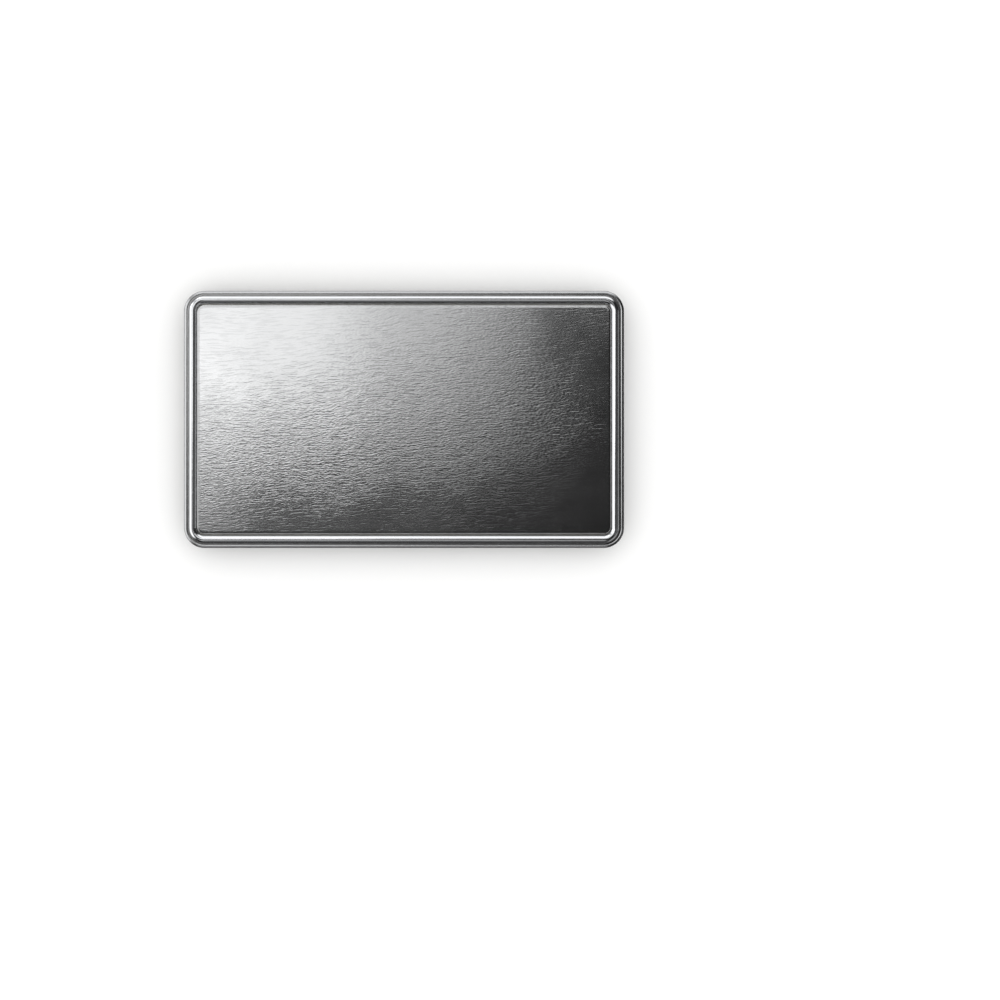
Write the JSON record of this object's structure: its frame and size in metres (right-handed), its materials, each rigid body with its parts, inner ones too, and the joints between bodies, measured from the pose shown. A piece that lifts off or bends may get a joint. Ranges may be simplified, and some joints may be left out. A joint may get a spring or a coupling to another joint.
{
  "type": "magnetic name badge",
  "caption": "Blank metal name badge: brushed face panel in a polished beaded bezel, blasted back with a pressed keeper dish and a pull-off magnet in a stamped cap.",
  "frame": {"origin": "centre of the magnet cap's outer face, on the surface that the badge lies on", "axes": "+X along the badge's long side, +Y up the badge as it is worn, +Z out of its front face"},
  "size_m": [0.0762, 0.0446, 0.0054],
  "materials": {
    "blasted_nickel": "sandblasted nickel plate, warm grey, fine grain",
    "polished_rim": "polished plate on a cast rim",
    "brushed_panel": "satin metal with a fine crinkled grain along the long side",
    "pressed_nickel": "pressed sheet, smooth on its raised rings and dark in its valley",
    "stamped_cap": "pressed sheet, bright outer band and dark patina in the middle",
    "magnet_core": "bare magnet, dark grey"
  },
  "bodies": {
    "magnet_disc": {"magnet_cap": "stamped_cap", "magnet": "magnet_core"},
    "badge_front": {"back_plate": "blasted_nickel", "bezel": "polished_rim", "face_panel": "brushed_panel", "keeper_dish": "pressed_nickel"}
  },
  "joints": [
    {"name": "badge_lift", "type": "slide", "parent": "magnet_disc", "child": "badge_front", "axis": [0, 0, 1], "range_m": [0, 0.015]}
  ]
}
